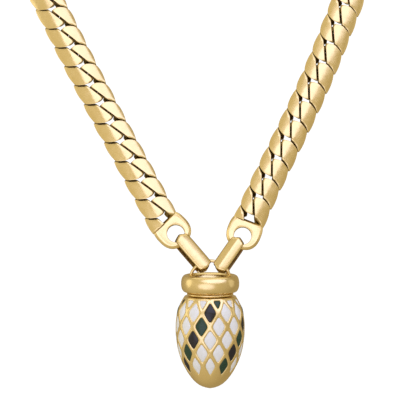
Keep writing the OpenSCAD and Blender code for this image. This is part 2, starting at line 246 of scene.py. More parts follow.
# The studio, in metres: each soft panel's name, place, size, share of the panel power and colour, then the
# way in which the room grows dim with its two colours, the floor, and the camera's aim from the swing axis
STAGE_MIDDLE = (0, -0.1, -0.08)
PANELS = [
    ("front_panel", (0.12, -0.55, 0.25), (0.85, 0.52), 1, (1, 1.09, 1.95)),
    ("top_panel", (0, -0.1, 0.5), (0.9, 0.6), 0.7, (1, 1, 1)),
    ("side_panel", (-0.75, -0.25, 0), (0.4, 0.7), 0.45, (1, 1, 1)),
    ("side_panel", (0.75, -0.25, 0), (0.4, 0.7), 0.25, (1, 1, 1)),
    ("low_panel", (-0.12, -0.65, -0.2), (0.5, 0.36), 0.31, (1, 1.05, 1.8)),
]
DIM_WAY = (0.5, 0.85, -0.2)
DIM_RANGE = (-1, 0.4)
WARM_LIGHT = (1, 0.87, 0.62)
DIM_LIGHT = (0.58, 0.48, 0.31)
FLOOR_Z = -0.2
FLOOR_REACH = 6.0
FLOOR_BEND = 1.5
BACKDROP_TOP = 6.0
SENSOR_WIDTH = 36
AIM_ACROSS = -0.00054
AIM_UP = 0.01395


class NECKLACE_PG_chain(PropertyGroup):
    """Sizes of the curb chain."""
    width: FloatProperty(
        name="Width", description="Width of the flat chain",
        default=0.0079, min=0.0074, max=0.0081, unit="LENGTH")
    links: IntProperty(
        name="Links", description="Links on each side, with the two soldered to the fittings",
        default=38, min=37, max=38)
    link_half_length: FloatProperty(
        name="Link Half Length", description="Half length of a link along its own long axis",
        default=0.00342, min=0.0033, max=0.0035, unit="LENGTH")
    link_half_width: FloatProperty(
        name="Link Half Width", description="Half width of a link between its long sides",
        default=0.00289, min=0.00285, max=0.0029, unit="LENGTH")
    link_lean: FloatProperty(
        name="Link Lean", description="Lean of a link from the chain's axis",
        default=radians(23.6), min=radians(23), max=radians(24), subtype="ANGLE")
    link_twist: FloatProperty(
        name="Link Twist", description="Height of a link's twist above the chain's middle plane",
        default=0.00173, min=0.0017, max=0.00175, unit="LENGTH")
    flat_height: FloatProperty(
        name="Flat Height", description="Height of the flats cut on both faces of the chain",
        default=0.00145, min=0.0014, max=0.0015, unit="LENGTH")
    petal_width: FloatProperty(
        name="Petal Width", description="Width of the wire on a link's long sides",
        default=0.0034, min=0.0033, max=0.0034, unit="LENGTH")
    wire_end_width: FloatProperty(
        name="End Width", description="Width of the wire at a link's two ends",
        default=0.00174, min=0.0016, max=0.00176, unit="LENGTH")
    wire_thickness: FloatProperty(
        name="Wire Thickness", description="Thickness of a link's wire",
        default=0.00122, min=0.0011, max=0.00124, unit="LENGTH")


class NECKLACE_PG_fittings(PropertyGroup):
    """Sizes of the end caps, strips, ring and clasp."""
    cap_width: FloatProperty(
        name="Cap Width", description="Width of an end cap",
        default=0.0087, min=0.0082, max=0.0089, unit="LENGTH")
    cap_length: FloatProperty(
        name="Cap Length", description="Length of an end cap",
        default=0.0075, min=0.0072, max=0.0076, unit="LENGTH")
    cap_hole_radius: FloatProperty(
        name="Cap Hole Radius", description="Radius of the round hole in an end cap",
        default=0.0022, min=0.0021, max=0.00225, unit="LENGTH")
    strip_width: FloatProperty(
        name="Strip Width", description="Width of a connector's strip",
        default=0.0038, min=0.0034, max=0.0039, unit="LENGTH")
    strip_thickness: FloatProperty(
        name="Strip Thickness", description="Thickness of a connector's strip",
        default=0.0007, min=0.0006, max=0.00075, unit="LENGTH")
    connector_depth: FloatProperty(
        name="Connector Depth", description="Front to back size of a connector",
        default=0.0044, min=0.0042, max=0.0048, unit="LENGTH")
    ring_radius: FloatProperty(
        name="Ring Radius", description="Radius of the jump ring to the middle of its wire",
        default=0.00505, min=0.005, max=0.0051, unit="LENGTH")
    ring_wire_radius: FloatProperty(
        name="Ring Wire Radius", description="Radius of the jump ring's wire",
        default=0.0004, min=0.00034, max=0.00041, unit="LENGTH")
    clasp_length: FloatProperty(
        name="Clasp Length", description="Length of the clasp at the nape",
        default=0.0112, min=0.011, max=0.0116, unit="LENGTH")


class NECKLACE_PG_pendant(PropertyGroup):
    """Sizes of the pendant."""
    cap_ring_width: FloatProperty(
        name="Cap Ring Width", description="Width of the oval ring on top of the drop",
        default=0.0146, min=0.0144, max=0.0148, unit="LENGTH")
    cap_ring_depth: FloatProperty(
        name="Cap Ring Depth", description="Front to back size of the oval ring",
        default=0.011, min=0.0108, max=0.0112, unit="LENGTH")
    cap_ring_height: FloatProperty(
        name="Cap Ring Height", description="Height of the oval ring's tube",
        default=0.0043, min=0.0042, max=0.0044, unit="LENGTH")
    drop_width: FloatProperty(
        name="Drop Width", description="Greatest width of the drop",
        default=0.0174, min=0.017, max=0.0178, unit="LENGTH")
    drop_flatness: FloatProperty(
        name="Drop Flatness", description="Depth of the drop as a share of its width",
        default=0.72, min=0.68, max=0.76, subtype="FACTOR")
    columns: IntProperty(
        name="Columns", description="Lozenge columns round the drop", default=12, min=12, max=18, step=6)
    line_width: FloatProperty(
        name="Line Width", description="Width of the gold lines between the lozenges",
        default=0.0008, min=0.0007, max=0.0009, unit="LENGTH")
    bed_depth: FloatProperty(
        name="Bed Depth", description="Depth of the enamel beds",
        default=0.0007, min=0.0006, max=0.0008, unit="LENGTH")


class NECKLACE_PG_finish(PropertyGroup):
    """Colours and polish."""
    gold: FloatVectorProperty(
        name="Gold", description="Main colour of the polished gold",
        default=(0.93, 0.75, 0.375), size=3, min=0, max=1, subtype="COLOR")
    gold_deep: FloatVectorProperty(
        name="Deep Gold", description="Colour of the gold where the polish is thinner",
        default=(0.90, 0.71, 0.335), size=3, min=0, max=1, subtype="COLOR")
    # Painted shade: the dark colour the gold is blended to between the links, in the cap holes and in the
    # strips' bends
    gold_painted_shade: FloatVectorProperty(
        name="Recess Gold", description="Colour of the gold down between the links",
        default=(0.25, 0.18, 0.065), size=3, min=0, max=1, subtype="COLOR")
    gold_roughness: FloatProperty(
        name="Gold Roughness", description="Mean roughness of the polished gold",
        default=0.23, min=0.02, max=0.6, subtype="FACTOR")
    white: FloatVectorProperty(
        name="White Enamel", description="Colour of the white enamel",
        default=(0.87, 0.92, 0.94), size=3, min=0, max=1, subtype="COLOR")
    green: FloatVectorProperty(
        name="Green Enamel", description="Colour of the green enamel",
        default=(0.012, 0.052, 0.027), size=3, min=0, max=1, subtype="COLOR")
    black: FloatVectorProperty(
        name="Black Enamel", description="Colour of the black enamel",
        default=(0.012, 0.011, 0.015), size=3, min=0, max=1, subtype="COLOR")


class NECKLACE_PG_stage(PropertyGroup):
    """Camera and studio."""
    elevation: FloatProperty(
        name="Camera Elevation", description="Height of the camera above level",
        default=radians(8), min=radians(-10), max=radians(40), subtype="ANGLE")
    distance: FloatProperty(
        name="Camera Distance", description="Distance of the camera from the necklace",
        default=1.0, min=0.4, max=3, unit="LENGTH")
    view_width: FloatProperty(
        name="View Width", description="Width that the picture takes in",
        default=0.104, min=0.05, max=0.4, unit="LENGTH")
    panel_power: FloatProperty(
        name="Panel Power", description="Power of the soft panel in front",
        default=0.84, min=0, max=100, unit="POWER")
    room_level: FloatProperty(
        name="Room Light", description="Strength of the even light from the room",
        default=0.72, min=0, max=4)


# Plain helpers on points and lines

def unit(v):
    """The vector at a length of 1."""
    return v / np.linalg.norm(v)


def power(x, p):
    """A power that keeps the sign."""
    return np.sign(x) * np.abs(x) ** p


def rising(x, start, length):
    """Rises smoothly from 0 at start to 1 a length later, and stays level outside."""
    share = min(max((x - start) / length, 0), 1)
    return share * share * (3 - 2 * share)


def falling(x, end, length):
    """Falls smoothly from 1 a length before the end to 0 at it, and stays level outside."""
    return rising(-x, -end, length)


def quarter_round(x):
    """Falls from 1 to 0 along a quarter circle as x goes from 0 to 1, and stays level outside."""
    return sqrt(1 - min(max(x, 0), 1) ** 2)


def soft_ramp(x, softness):
    """0 below 0 and x above it, with a soft corner."""
    return softness * np.logaddexp(0, x / softness)


def pressed(x, limit, lead, softness):
    """Presses what stands past a limit back to it, with a slight crown and a soft corner a lead before it."""
    past = soft_ramp(abs(x) - (limit - lead), softness)
    return np.sign(x) * (abs(x) - PRESS_STRENGTH * past)


def turns(count):
    """Angles evenly round a full turn."""
    return np.linspace(0, 2 * pi, count, endpoint=False)


def mm(length):
    """A length that Blender holds in metres, in millimetres."""
    return length / MM


def on_chest(x, h):
    """A point on the sloping front: x from the swing axis, h up the slope."""
    return SWING_AXIS + np.array([x, h * sin(CHEST_SLOPE), h * cos(CHEST_SLOPE)])


def chest_frame(x, h, angle):
    """Origin and axes of a flat place on the sloping front, turned by an angle within it."""
    across = np.array([1.0, 0, 0])
    up = np.array([0, sin(CHEST_SLOPE), cos(CHEST_SLOPE)])
    out = np.array([0, -cos(CHEST_SLOPE), sin(CHEST_SLOPE)])
    first = cos(angle) * across + sin(angle) * up
    second = -sin(angle) * across + cos(angle) * up
    return on_chest(x, h), np.array([first, second, out])


def put(points, origin, axes):
    """Points of a frame of their own, where its origin and axes put them."""
    return origin + np.asarray(points) @ axes


def smooth_through(table, x):
    """A smooth curve through a table of (x, y) pairs, with no overshoot between them."""
    xs = np.array([p[0] for p in table], float)
    ys = np.array([p[1] for p in table], float)
    steps = np.diff(ys) / np.diff(xs)
    slopes = np.zeros(len(xs))
    slopes[0] = steps[0]
    slopes[-1] = TIP_STEEPNESS * steps[-1]
    for i in range(1, len(xs) - 1):
        a, b = steps[i - 1], steps[i]
        slopes[i] = 0 if a * b <= 0 else 2 * a * b / (a + b)
    i = int(np.clip(np.searchsorted(xs, x) - 1, 0, len(xs) - 2))
    width = xs[i + 1] - xs[i]
    t = min(max((x - xs[i]) / width, 0), 1)
    return ((2 * t**3 - 3 * t**2 + 1) * ys[i] + (t**3 - 2 * t**2 + t) * width * slopes[i]
            + (3 * t**2 - 2 * t**3) * ys[i + 1] + (t**3 - t**2) * width * slopes[i + 1])


# The way of the chain round the neck

class ChainWay:
    """The line that one side of the chain follows: an arm with a slight bow, then a curve to the nape."""

    def __init__(self, side, clasp_length, links):
        self.side = side
        self.links = links
        edge = CAP_EDGE[side]

        def arm(h):
            return on_chest(edge[0] + (h - edge[1]) * tan(ARM_LEAN[side]) * side, h)

        self.foot = arm(edge[1] + SOLDER_REACH * cos(ARM_LEAN[LEFT]))
        head = arm(ARM_TOP)
        self.arm_way = unit(head - self.foot)
        self.arm_length = np.linalg.norm(head - self.foot)
        end = np.array([side * (clasp_length / 2 + SOLDER_REACH), NAPE_BACK, 0])
        self.pull = np.array([head, head + ARM_PULL * self.arm_way,
                              end + np.array([side * NAPE_PULL, 0, NAPE_DIP]), end])
        marks = np.array([self.curve(i / CURVE_STEPS) for i in range(CURVE_STEPS + 1)])
        lengths = np.linalg.norm(np.diff(marks, axis=0), axis=1)
        self.table = np.concatenate([[0], np.cumsum(lengths)])
        self.length = self.arm_length + self.table[-1]

    def curve(self, t):
        """The point at t from 0 to 1 on the curve from the arm's head to the nape."""
        weights = [(1 - t) ** 3, 3 * t * (1 - t) ** 2, 3 * t * t * (1 - t), t**3]
        return np.dot(weights, self.pull)

    def curve_way(self, t):
        """The way that the curve goes at t."""
        legs = np.diff(self.pull, axis=0)
        return unit(np.dot([(1 - t) ** 2, 2 * t * (1 - t), t * t], legs))

    def place(self, k):
        """Centre and axes (across, along, face) of link number k."""
        s = k * self.length / (self.links - 1)
        if s < self.arm_length:
            share = s / self.arm_length
            bow = np.array([self.side * ARM_BOW[self.side], 0, 0])
            centre = self.foot + s * self.arm_way + bow * sin(pi * share) ** 2
            along = unit(self.arm_way + bow * pi / self.arm_length * sin(2 * pi * share))
        else:
            t = np.interp(s - self.arm_length, self.table, np.arange(CURVE_STEPS + 1) / CURVE_STEPS)
            centre, along = self.curve(t), self.curve_way(t)
        turn = pi * max(0, (s - TURN_START) / (self.length - TURN_START))
        outward = np.array([self.side * sin(turn), -cos(turn), tan(CHEST_SLOPE)])
        face = unit(outward - np.dot(outward, along) * along)
        return centre, np.array([np.cross(along, face), along, face])


# Meshes

class Shape:
    """Points in millimetres, how much painted shade each one gets, and the faces between them."""

    def __init__(self):
        self.points = []
        self.painted_shade = []
        self.faces = []

    def add(self, points, faces, painted_shade=None):
        """Adds points, and faces that count from the first of them."""
        start = len(self.points)
        self.points.extend(np.asarray(points, float).tolist())
        self.painted_shade.extend([0.0] * len(points) if painted_shade is None else painted_shade)
        self.faces.extend([[start + i for i in f] for f in faces])

    def add_bmesh(self, bm, origin=None, axes=None):
        """Adds a bmesh, put into a frame if one is given."""
        bm.verts.index_update()
        points = np.array([v.co for v in bm.verts])
        if axes is not None:
            points = put(points, origin, axes)
        layer = bm.verts.layers.float.get("painted_shade")
        painted_shade = [v[layer] for v in bm.verts] if layer else None
        self.add(points, [[v.index for v in f.verts] for f in bm.faces], painted_shade)

    def add_loops(self, rings, closed=False, painted_shade=None):
        """A skin over rings of the same number of points. Closed joins the last ring to the first.

        The last argument gives the painted shade of each ring, or of each point.
        """
        n, m = len(rings), len(rings[0])
        if painted_shade and len(painted_shade) == n:
            painted_shade = [r for r in painted_shade for _ in range(m)]
        last = n if closed else n - 1
        faces = [[j * m + i, ((j + 1) % n) * m + i, ((j + 1) % n) * m + (i + 1) % m, j * m + (i + 1) % m]
                 for j in range(last) for i in range(m)]
        self.add(np.concatenate([np.asarray(r, float) for r in rings]), faces, painted_shade)

    def close_ring(self, first, count, centre):
        """Closes the ring of count points that starts at number first with a fan to a centre."""
        tip = len(self.points)
        self.add([centre], [])
        self.faces += [[first + i, first + (i + 1) % count, tip] for i in range(count)]


def finished_piece(name, shape, body, nodes, material, merge=0.0):
    """Makes the mesh object of a piece, and lets it stand for its CAD nodes.

    Points that lie closer together than merge, in millimetres, become one.
    """
    mesh = bpy.data.meshes.new(name)
    mesh.from_pydata([[c * MM for c in p] for p in shape.points], [], shape.faces)
    # Each point's painted shade, which darkens the gold there
    mesh.attributes.new("painted_shade", "FLOAT", "POINT").data.foreach_set("value", shape.painted_shade)
    bm = bmesh.new()
    bm.from_mesh(mesh)
    if merge:
        bmesh.ops.remove_doubles(bm, verts=bm.verts, dist=merge * MM)
    bmesh.ops.recalc_face_normals(bm, faces=bm.faces)
    bm.to_mesh(mesh)
    bm.free()
    mesh.validate()
    mesh.shade_smooth()
    mesh.materials.append(material)
    piece = bpy.data.objects.new(name, mesh)
    bpy.context.scene.collection.objects.link(piece)
    soften = piece.modifiers.new("Even Normals", "WEIGHTED_NORMAL")
    soften.weight = 60
    soften.keep_sharp = True
    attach(piece, body)
    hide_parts(*nodes)
    return piece


def cut_off(bm, point, normal):
    """Cuts off what stands past a plane and closes the cut."""
    bmesh.ops.bisect_plane(bm, geom=bm.verts[:] + bm.edges[:] + bm.faces[:], dist=1e-4,
                           plane_co=point, plane_no=normal, clear_outer=True)
    bmesh.ops.holes_fill(bm, edges=[e for e in bm.edges if e.is_boundary], sides=0)


def link_mesh(chain, outer_side):
    """One link in its own place: x across the chain, y along it, z out of its face."""
    half_length, half_width = mm(chain.link_half_length), mm(chain.link_half_width)
    lean, twist = chain.link_lean, mm(chain.link_twist)
    end, petal = mm(chain.wire_end_width), mm(chain.petal_width)
    half_t = HALF_THICKNESS_SHARE * mm(chain.wire_thickness)
    steps, sides = 72, 32

    def axis(t):
        u = half_length * power(cos(t), 2 / LINK_ROUNDNESS)
        v = half_width * power(sin(t), 2 / LINK_ROUNDNESS)
        w = u + LINK_SKEW * v
        lift = -twist * tanh(TWIST_SHARPNESS * sin(2 * (t - TWIST_SHIFT))) / tanh(TWIST_SHARPNESS)
        return np.array([w * sin(lean) + v * cos(lean), v * sin(lean) - w * cos(lean), lift])

    bm = bmesh.new()
    rings = []
    for j in range(steps):
        t = 2 * pi * (j + 0.5) / steps
        way = unit(axis(t + WAY_NUDGE) - axis(t - WAY_NUDGE))
        flat = unit(np.array([way[1], -way[0], 0]))
        rise = np.cross(way, flat)
        half_w = HALF_WIDTH_SHARE * (END_FULLNESS * end + (petal - end) * abs(sin(t)) ** PETAL_POWER)
        phase = t % pi - pi / 2
        side = 1 if t < pi else -1
        fill = 1 + PETAL_FILL * falling(abs(phase - FILL_MIDDLE), *FILL_ALONG)
        trim = 1 - PETAL_TRIM * rising(phase, *TRIM_ALONG)
        ring = []
        for i in range(sides):
            a = 2 * pi * i / sides
            w = half_w * power(cos(a), WIRE_SQUARENESS)
            w *= fill if w < 0 else trim
            p = axis(t) + flat * w + rise * half_t * power(sin(a), WIRE_SQUARENESS)
            p[1] -= np.sign(p[0]) * petal_tip(phase, abs(p[0]), p[2])
            p[:2] += side * petal_heel(phase, p[2]) * HEEL_WAY
            p[:2] += side * past_the_parting(side * p[:2], p[2], side * outer_side) * PARTING
            p[:2] -= side * past_the_hole(side * p[:2], p[2]) * HOLE_SIDE
            ring.append(bm.verts.new(p))
        rings.append(ring)
    for j in range(steps):
        here, there = rings[j], rings[(j + 1) % steps]
        for i in range(sides):
            bm.faces.new([here[i], there[i], there[(i + 1) % sides], here[(i + 1) % sides]])
    bmesh.ops.recalc_face_normals(bm, faces=bm.faces)
    for _ in range(SMOOTHING_ROUNDS):
        bmesh.ops.smooth_vert(bm, verts=bm.verts, factor=SMOOTHING, use_axis_x=True,
                              use_axis_y=True, use_axis_z=True)
    press_flats(bm, mm(chain.flat_height), mm(chain.width) / 2, outer_side)
    return bm


def petal_tip(phase, across, height):
    """How far a petal's outer end is drawn out along the chain into a tip."""
    return TIP_REACH * rising(across, *TIP_ACROSS) * falling(phase, *TIP_ALONG) * rising(height, *TIP_UP)


def petal_heel(phase, height):
    """How far a petal's inner end is drawn out over the wire that dives below it."""
    return HEEL_REACH * rising(phase, *HEEL_ALONG) * rising(height, *HEEL_UP)


def past_the_parting(place, height, outer):
    """How far to push a petal back from the line that parts it from the next link's petal.

    Outer is 1 on the loop's outer edge and -1 on its inner one.
    """
    gap = PARTING_GAP + PARTING_CHAMFER * rising(height, *CHAMFER_UP) - OUTER_GAIN * outer
    past = gap - np.dot(place - PARTING_PLACE, PARTING)
    return soft_ramp(past, PARTING_SOFTNESS) * rising(height, *HEEL_UP)


def past_the_hole(place, height):
    """How far to push a petal's inner end back from the hole beside it."""
    return soft_ramp(np.dot(place, HOLE_SIDE) - HOLE_PLACE, HOLE_SOFTNESS) * rising(height, *HOLE_UP)


def press_flats(bm, height, half_width, outer_side):
    """Presses the wire to the chain's flat faces, their sloping sides and its two scalloped edges.

    Each point also gets its painted shade, darker the farther down between the links it lies.
    """
    layer = bm.verts.layers.float.new("painted_shade")
    for v in bm.verts:
        side = np.sign(v.co.x)
        outer = max(side * outer_side, 0)
        v.co.x += side * outer * OUTER_SPREAD * rising(abs(v.co.x), *SPREAD_ACROSS)
        past_crest = (side * v.co.y - (OUTER_CREST_Y if outer else CREST_Y)) / HALF_PITCH
        edge = half_width + outer * OUTER_SPREAD - NOTCH_DEPTH * min(past_crest**2, NOTCH_LIMIT)
        v.co.x = pressed(v.co.x, edge, *EDGE_PRESS)
        across = abs(v.co.x)
        face = height - FLAT_SLOPE * soft_ramp(across - FLAT_HALF_WIDTH, FLAT_CORNER)
        face -= EDGE_SLOPE * soft_ramp(across - EDGE_FROM_X, EDGE_CORNER)
        v.co.z = pressed(v.co.z, face, *FACE_PRESS)
        # Painted shade: darker the farther the wire lies below its flat face, fading out near the chain's
        # outer edges
        v[layer] = rising(face - abs(v.co.z), *PAINTED_SHADE_DOWN) * (1 - rising(across, *PAINTED_SHADE_ACROSS))


def half_link(chain, way, k, plane_point, plane_normal):
    """Link k of a way, in the necklace's frame, cut off past a plane."""
    bm = link_mesh(chain, way.side)
    origin, axes = way.place(k)
    for v in bm.verts:
        v.co = Vector(put(np.array(v.co), origin, axes))
    cut_off(bm, Vector(plane_point), Vector(plane_normal))
    return bm


# Materials

def node_material(name):
    """A new material, with its nodes, links and shader and the place on the object."""
    material = bpy.data.materials.new(name)
    material.use_nodes = True
    nodes, links = material.node_tree.nodes, material.node_tree.links
    shader = nodes["Principled BSDF"]
    place = nodes.new("ShaderNodeTexCoord")
    return material, nodes, links, shader, place.outputs["Object"]


def noise(nodes, links, place, scale, detail):
    """Cloudy noise over the object, from about 0.3 to 0.7."""
    texture = nodes.new("ShaderNodeTexNoise")
    texture.inputs["Scale"].default_value = scale
    texture.inputs["Detail"].default_value = detail
    links.new(place, texture.inputs["Vector"])
    return texture.outputs["Fac"]


def spread(nodes, links, source, low, high):
    """Maps a noise's middle range to low and high."""
    ranger = nodes.new("ShaderNodeMapRange")
    ranger.inputs["From Min"].default_value = 0.3
    ranger.inputs["From Max"].default_value = 0.7
    ranger.inputs["To Min"].default_value = low
    ranger.inputs["To Max"].default_value = high
    links.new(source, ranger.inputs["Value"])
    return ranger.outputs["Result"]


def blend_colours(nodes, links, amount, first, second):
    """The first colour where the amount is 0, and the second where it is 1."""
    mix = nodes.new("ShaderNodeMix")
    mix.data_type = "RGBA"
    mix.inputs["A"].default_value = (*first, 1)
    mix.inputs["B"].default_value = (*second, 1)
    links.new(amount, mix.inputs["Factor"])
    return mix.outputs["Result"]


def polished_gold(finish):
    """Polished yellow gold with faint cloudy wear, fine hairlines and painted shade down in its recesses."""
    material, nodes, links, shader, place = node_material("polished_gold")
    cloud = spread(nodes, links, noise(nodes, links, place, scale=260, detail=4), 0, 1)
    open_gold = blend_colours(nodes, links, cloud, finish.gold, finish.gold_deep)
    # Painted shade: darker gold where the mesh's painted shade amount is high, down between links, in holes
    # and bends
    painted_shade = nodes.new("ShaderNodeAttribute")
    painted_shade.attribute_name = "painted_shade"
    shaded = blend_colours(nodes, links, painted_shade.outputs["Fac"], finish.gold, finish.gold_painted_shade)
    links.new(open_gold, shaded.node.inputs["A"])
    links.new(shaded, shader.inputs["Base Color"])
    shader.inputs["Metallic"].default_value = 1
    low, high = (finish.gold_roughness * (1 + change) for change in (-WEAR_SPREAD, WEAR_SPREAD))
    wear = spread(nodes, links, noise(nodes, links, place, scale=900, detail=5), low, high)
    links.new(wear, shader.inputs["Roughness"])
    bump = nodes.new("ShaderNodeBump")
    bump.inputs["Strength"].default_value = 0.06
    bump.inputs["Distance"].default_value = 0.00002
    links.new(noise(nodes, links, place, scale=5200, detail=6), bump.inputs["Height"])
    links.new(bump.outputs["Normal"], shader.inputs["Normal"])
    return material


def vitreous_enamel(name, colour):
    """Glossy opaque enamel with a faint cloudiness under its surface."""
    material, nodes, links, shader, place = node_material(name)
    lighter = tuple(min(1, c * (1 + CLOUD_SPREAD) + CLOUD_LIFT) for c in colour)
    darker = tuple(c * (1 - CLOUD_SPREAD) for c in colour)
    cloud = spread(nodes, links, noise(nodes, links, place, scale=700, detail=4), 0, 1)
    links.new(blend_colours(nodes, links, cloud, darker, lighter), shader.inputs["Base Color"])
    polish = spread(nodes, links, noise(nodes, links, place, scale=1600, detail=3), 0.2, 0.32)
    links.new(polish, shader.inputs["Roughness"])
    ripple = nodes.new("ShaderNodeBump")
    ripple.inputs["Strength"].default_value = 0.08
    ripple.inputs["Distance"].default_value = 0.00003
    links.new(noise(nodes, links, place, scale=1100, detail=2), ripple.inputs["Height"])
    links.new(ripple.outputs["Normal"], shader.inputs["Normal"])
    return material


def gold_finish(scene):
    """The gold that most pieces share, made once."""
    return bpy.data.materials.get("polished_gold") or polished_gold(scene.necklace_finish)


# Chain, end caps and clasp

def chain_ways(scene):
    """The ways of both sides of the chain, by side."""
    length = mm(scene.necklace_fittings.clasp_length)
    return {side: ChainWay(side, length, scene.necklace_chain.links) for side in (LEFT, RIGHT)}


class NECKLACE_OT_chain(Operator):
    """Build the two sides of the curb chain"""
    bl_idname = "necklace.chain"
    bl_label = "Curb Chain"

    def execute(self, context):
        scene = context.scene
        chain = scene.necklace_chain
        for side, way in chain_ways(scene).items():
            link = link_mesh(chain, side)
            shape = Shape()
            for k in range(1, chain.links - 1):
                shape.add_bmesh(link, *way.place(k))
            name = f"chain_{SIDE_NAMES[side]}"
            finished_piece(f"links_{SIDE_NAMES[side]}", shape, "necklace", [name], gold_finish(scene))
            link.free()
        return {"FINISHED"}


def cap_outline(fittings, inset):
    """The D of an end cap, pulled in by an inset, as one closed ring that starts on the curve."""
    curved, straight = 72, 18
    half_x = mm(fittings.cap_length) - CAP_MIDDLE - inset
    half_y = mm(fittings.cap_width) / 2 - inset
    last = pi - acos(((CAP_MIDDLE - inset) / half_x) ** (CAP_ROUNDNESS / 2))
    points = []
    for i in range(curved + 1):
        a = last * (2 * i / curved - 1)
        points.append([CAP_MIDDLE + half_x * power(cos(a), 2 / CAP_ROUNDNESS),
                       half_y * power(sin(a), 2 / CAP_ROUNDNESS)])
    top, bottom = np.array(points[-1]), np.array(points[0])
    for i in range(1, straight):
        points.append((top + (bottom - top) * i / straight).tolist())
    return np.array(points)


def cap_plate(fittings):
    """An end cap's plate in its own place: its straight edge on the y axis, its face at +z.

    Gives its rings, and the painted shade of each one, which darkens the hole's wall.
    """
    hole = np.array([CAP_HOLE_X, 0])
    hole_r = mm(fittings.cap_hole_radius)
    edge, thick = CAP_EDGE_THICKNESS / 2, CAP_THICKNESS / 2
    base = cap_outline(fittings, CAP_RIM)
    spokes = (base - hole) / np.linalg.norm(base - hole, axis=1)[:, None]

    def rim_ring(inset, z):
        flat = cap_outline(fittings, inset)
        return np.column_stack([flat, np.full(len(flat), z)])

    def face_ring(share, z):
        inner = hole + spokes * (hole_r + FACE_FROM_HOLE)
        outer = cap_outline(fittings, CAP_RIM + FACE_FROM_RIM)
        flat = outer + (inner - outer) * share
        crown = FACE_CROWN * (1 - share) * (flat[:, 1] / FACE_CROWN_Y) ** 2
        return np.column_stack([flat, np.sign(z) * (abs(z) - crown)])

    def hole_ring(grow, z):
        flat = hole + spokes * (hole_r + grow)
        return np.column_stack([flat, np.full(len(flat), z)])

    rings, painted_shade = [], []
    for z in (1, -1):
        half = [rim_ring(inset, z * (edge + height)) for inset, height in RIM_FOOT]
        half += [rim_ring(inset, z * (thick + height)) for inset, height in RIM_TOP]
        half += [face_ring(share, z * thick) for share in np.linspace(0, 1, 5)]
        half += [hole_ring(grow, z * (thick + height)) for grow, height in HOLE_LIP]
        # Painted shade down the hole's wall, none on the rest of the plate
        ring_shade = [0] * (len(half) - len(HOLE_SHADE)) + HOLE_SHADE
        rings += half if z > 0 else half[::-1]
        painted_shade += ring_shade if z > 0 else ring_shade[::-1]
    return rings, painted_shade


class NECKLACE_OT_end_caps(Operator):
    """Build the two end caps, each with half a link soldered on"""
    bl_idname = "necklace.end_caps"
    bl_label = "End Caps"

    def execute(self, context):
        scene = context.scene
        for side, way in chain_ways(scene).items():
            origin, axes = chest_frame(*CAP_EDGE[side], CAP_TURN[side])
            shape = Shape()
            rings, painted_shade = cap_plate(scene.necklace_fittings)
            shape.add_loops([put(ring, origin, axes) for ring in rings], closed=True, painted_shade=painted_shade)
            stub = half_link(scene.necklace_chain, way, 0, origin + SOLDER_DEPTH * axes[0], axes[0])
            shape.add_bmesh(stub)
            stub.free()
            name = f"end_cap_{SIDE_NAMES[side]}"
            finished_piece(f"cap_{SIDE_NAMES[side]}", shape, "necklace", [name], gold_finish(scene))
        return {"FINISHED"}


class NECKLACE_OT_clasp(Operator):
    """Build the plain clasp at the nape"""
    bl_idname = "necklace.clasp"
    bl_label = "Clasp"

    def execute(self, context):
        scene = context.scene
        chain, fittings = scene.necklace_chain, scene.necklace_fittings
        half = np.array([mm(fittings.clasp_length) / 2, NAPE_BACK, mm(chain.width) / 2 + CLASP_MARGIN])
        box = bmesh.new()
        bmesh.ops.create_cube(box, size=2)
        for v in box.verts:
            v.co = Vector(np.array(v.co) * half + np.array([0, NAPE_BACK, 0]))
        bmesh.ops.bevel(box, geom=box.edges[:], offset=CLASP_ROUNDING, offset_type="OFFSET", segments=5,
                        profile=0.5, affect="EDGES")
        shape = Shape()
        shape.add_bmesh(box)
        box.free()
        for side, way in chain_ways(scene).items():
            outward = np.array([-side, 0, 0])
            stub = half_link(chain, way, chain.links - 1, -outward * (half[0] - SOLDER_DEPTH), outward)
            shape.add_bmesh(stub)
            stub.free()
        finished_piece("clasp_box", shape, "necklace", ["clasp"], gold_finish(scene))
        return {"FINISHED"}


# Connectors and jump ring

def bent_outline(start, end, half, r):
    """A round-cornered oblong from start to end, as points and outward normals."""
    long_steps, short_steps, bend_steps = 14, 6, 8
    points, normals = [], []
    corners = [(end - r, half - r, 0), (start + r, half - r, pi / 2), (start + r, r - half, pi),
               (end - r, r - half, 3 * pi / 2)]
    for n, (u, z, a0) in enumerate(corners):
        for i in range(bend_steps + 1):
            a = a0 + pi / 2 * i / bend_steps
            points.append([u + r * cos(a), z + r * sin(a)])
            normals.append([cos(a), sin(a)])
        u2, z2, _ = corners[(n + 1) % 4]
        a = a0 + pi / 2
        here = np.array([u + r * cos(a), z + r * sin(a)])
        there = np.array([u2 + r * cos(a), z2 + r * sin(a)])
        steps = short_steps if n % 2 else long_steps
        for i in range(1, steps):
            points.append((here + (there - here) * i / steps).tolist())
            normals.append([cos(a), sin(a)])
    return np.array(points), np.array(normals)


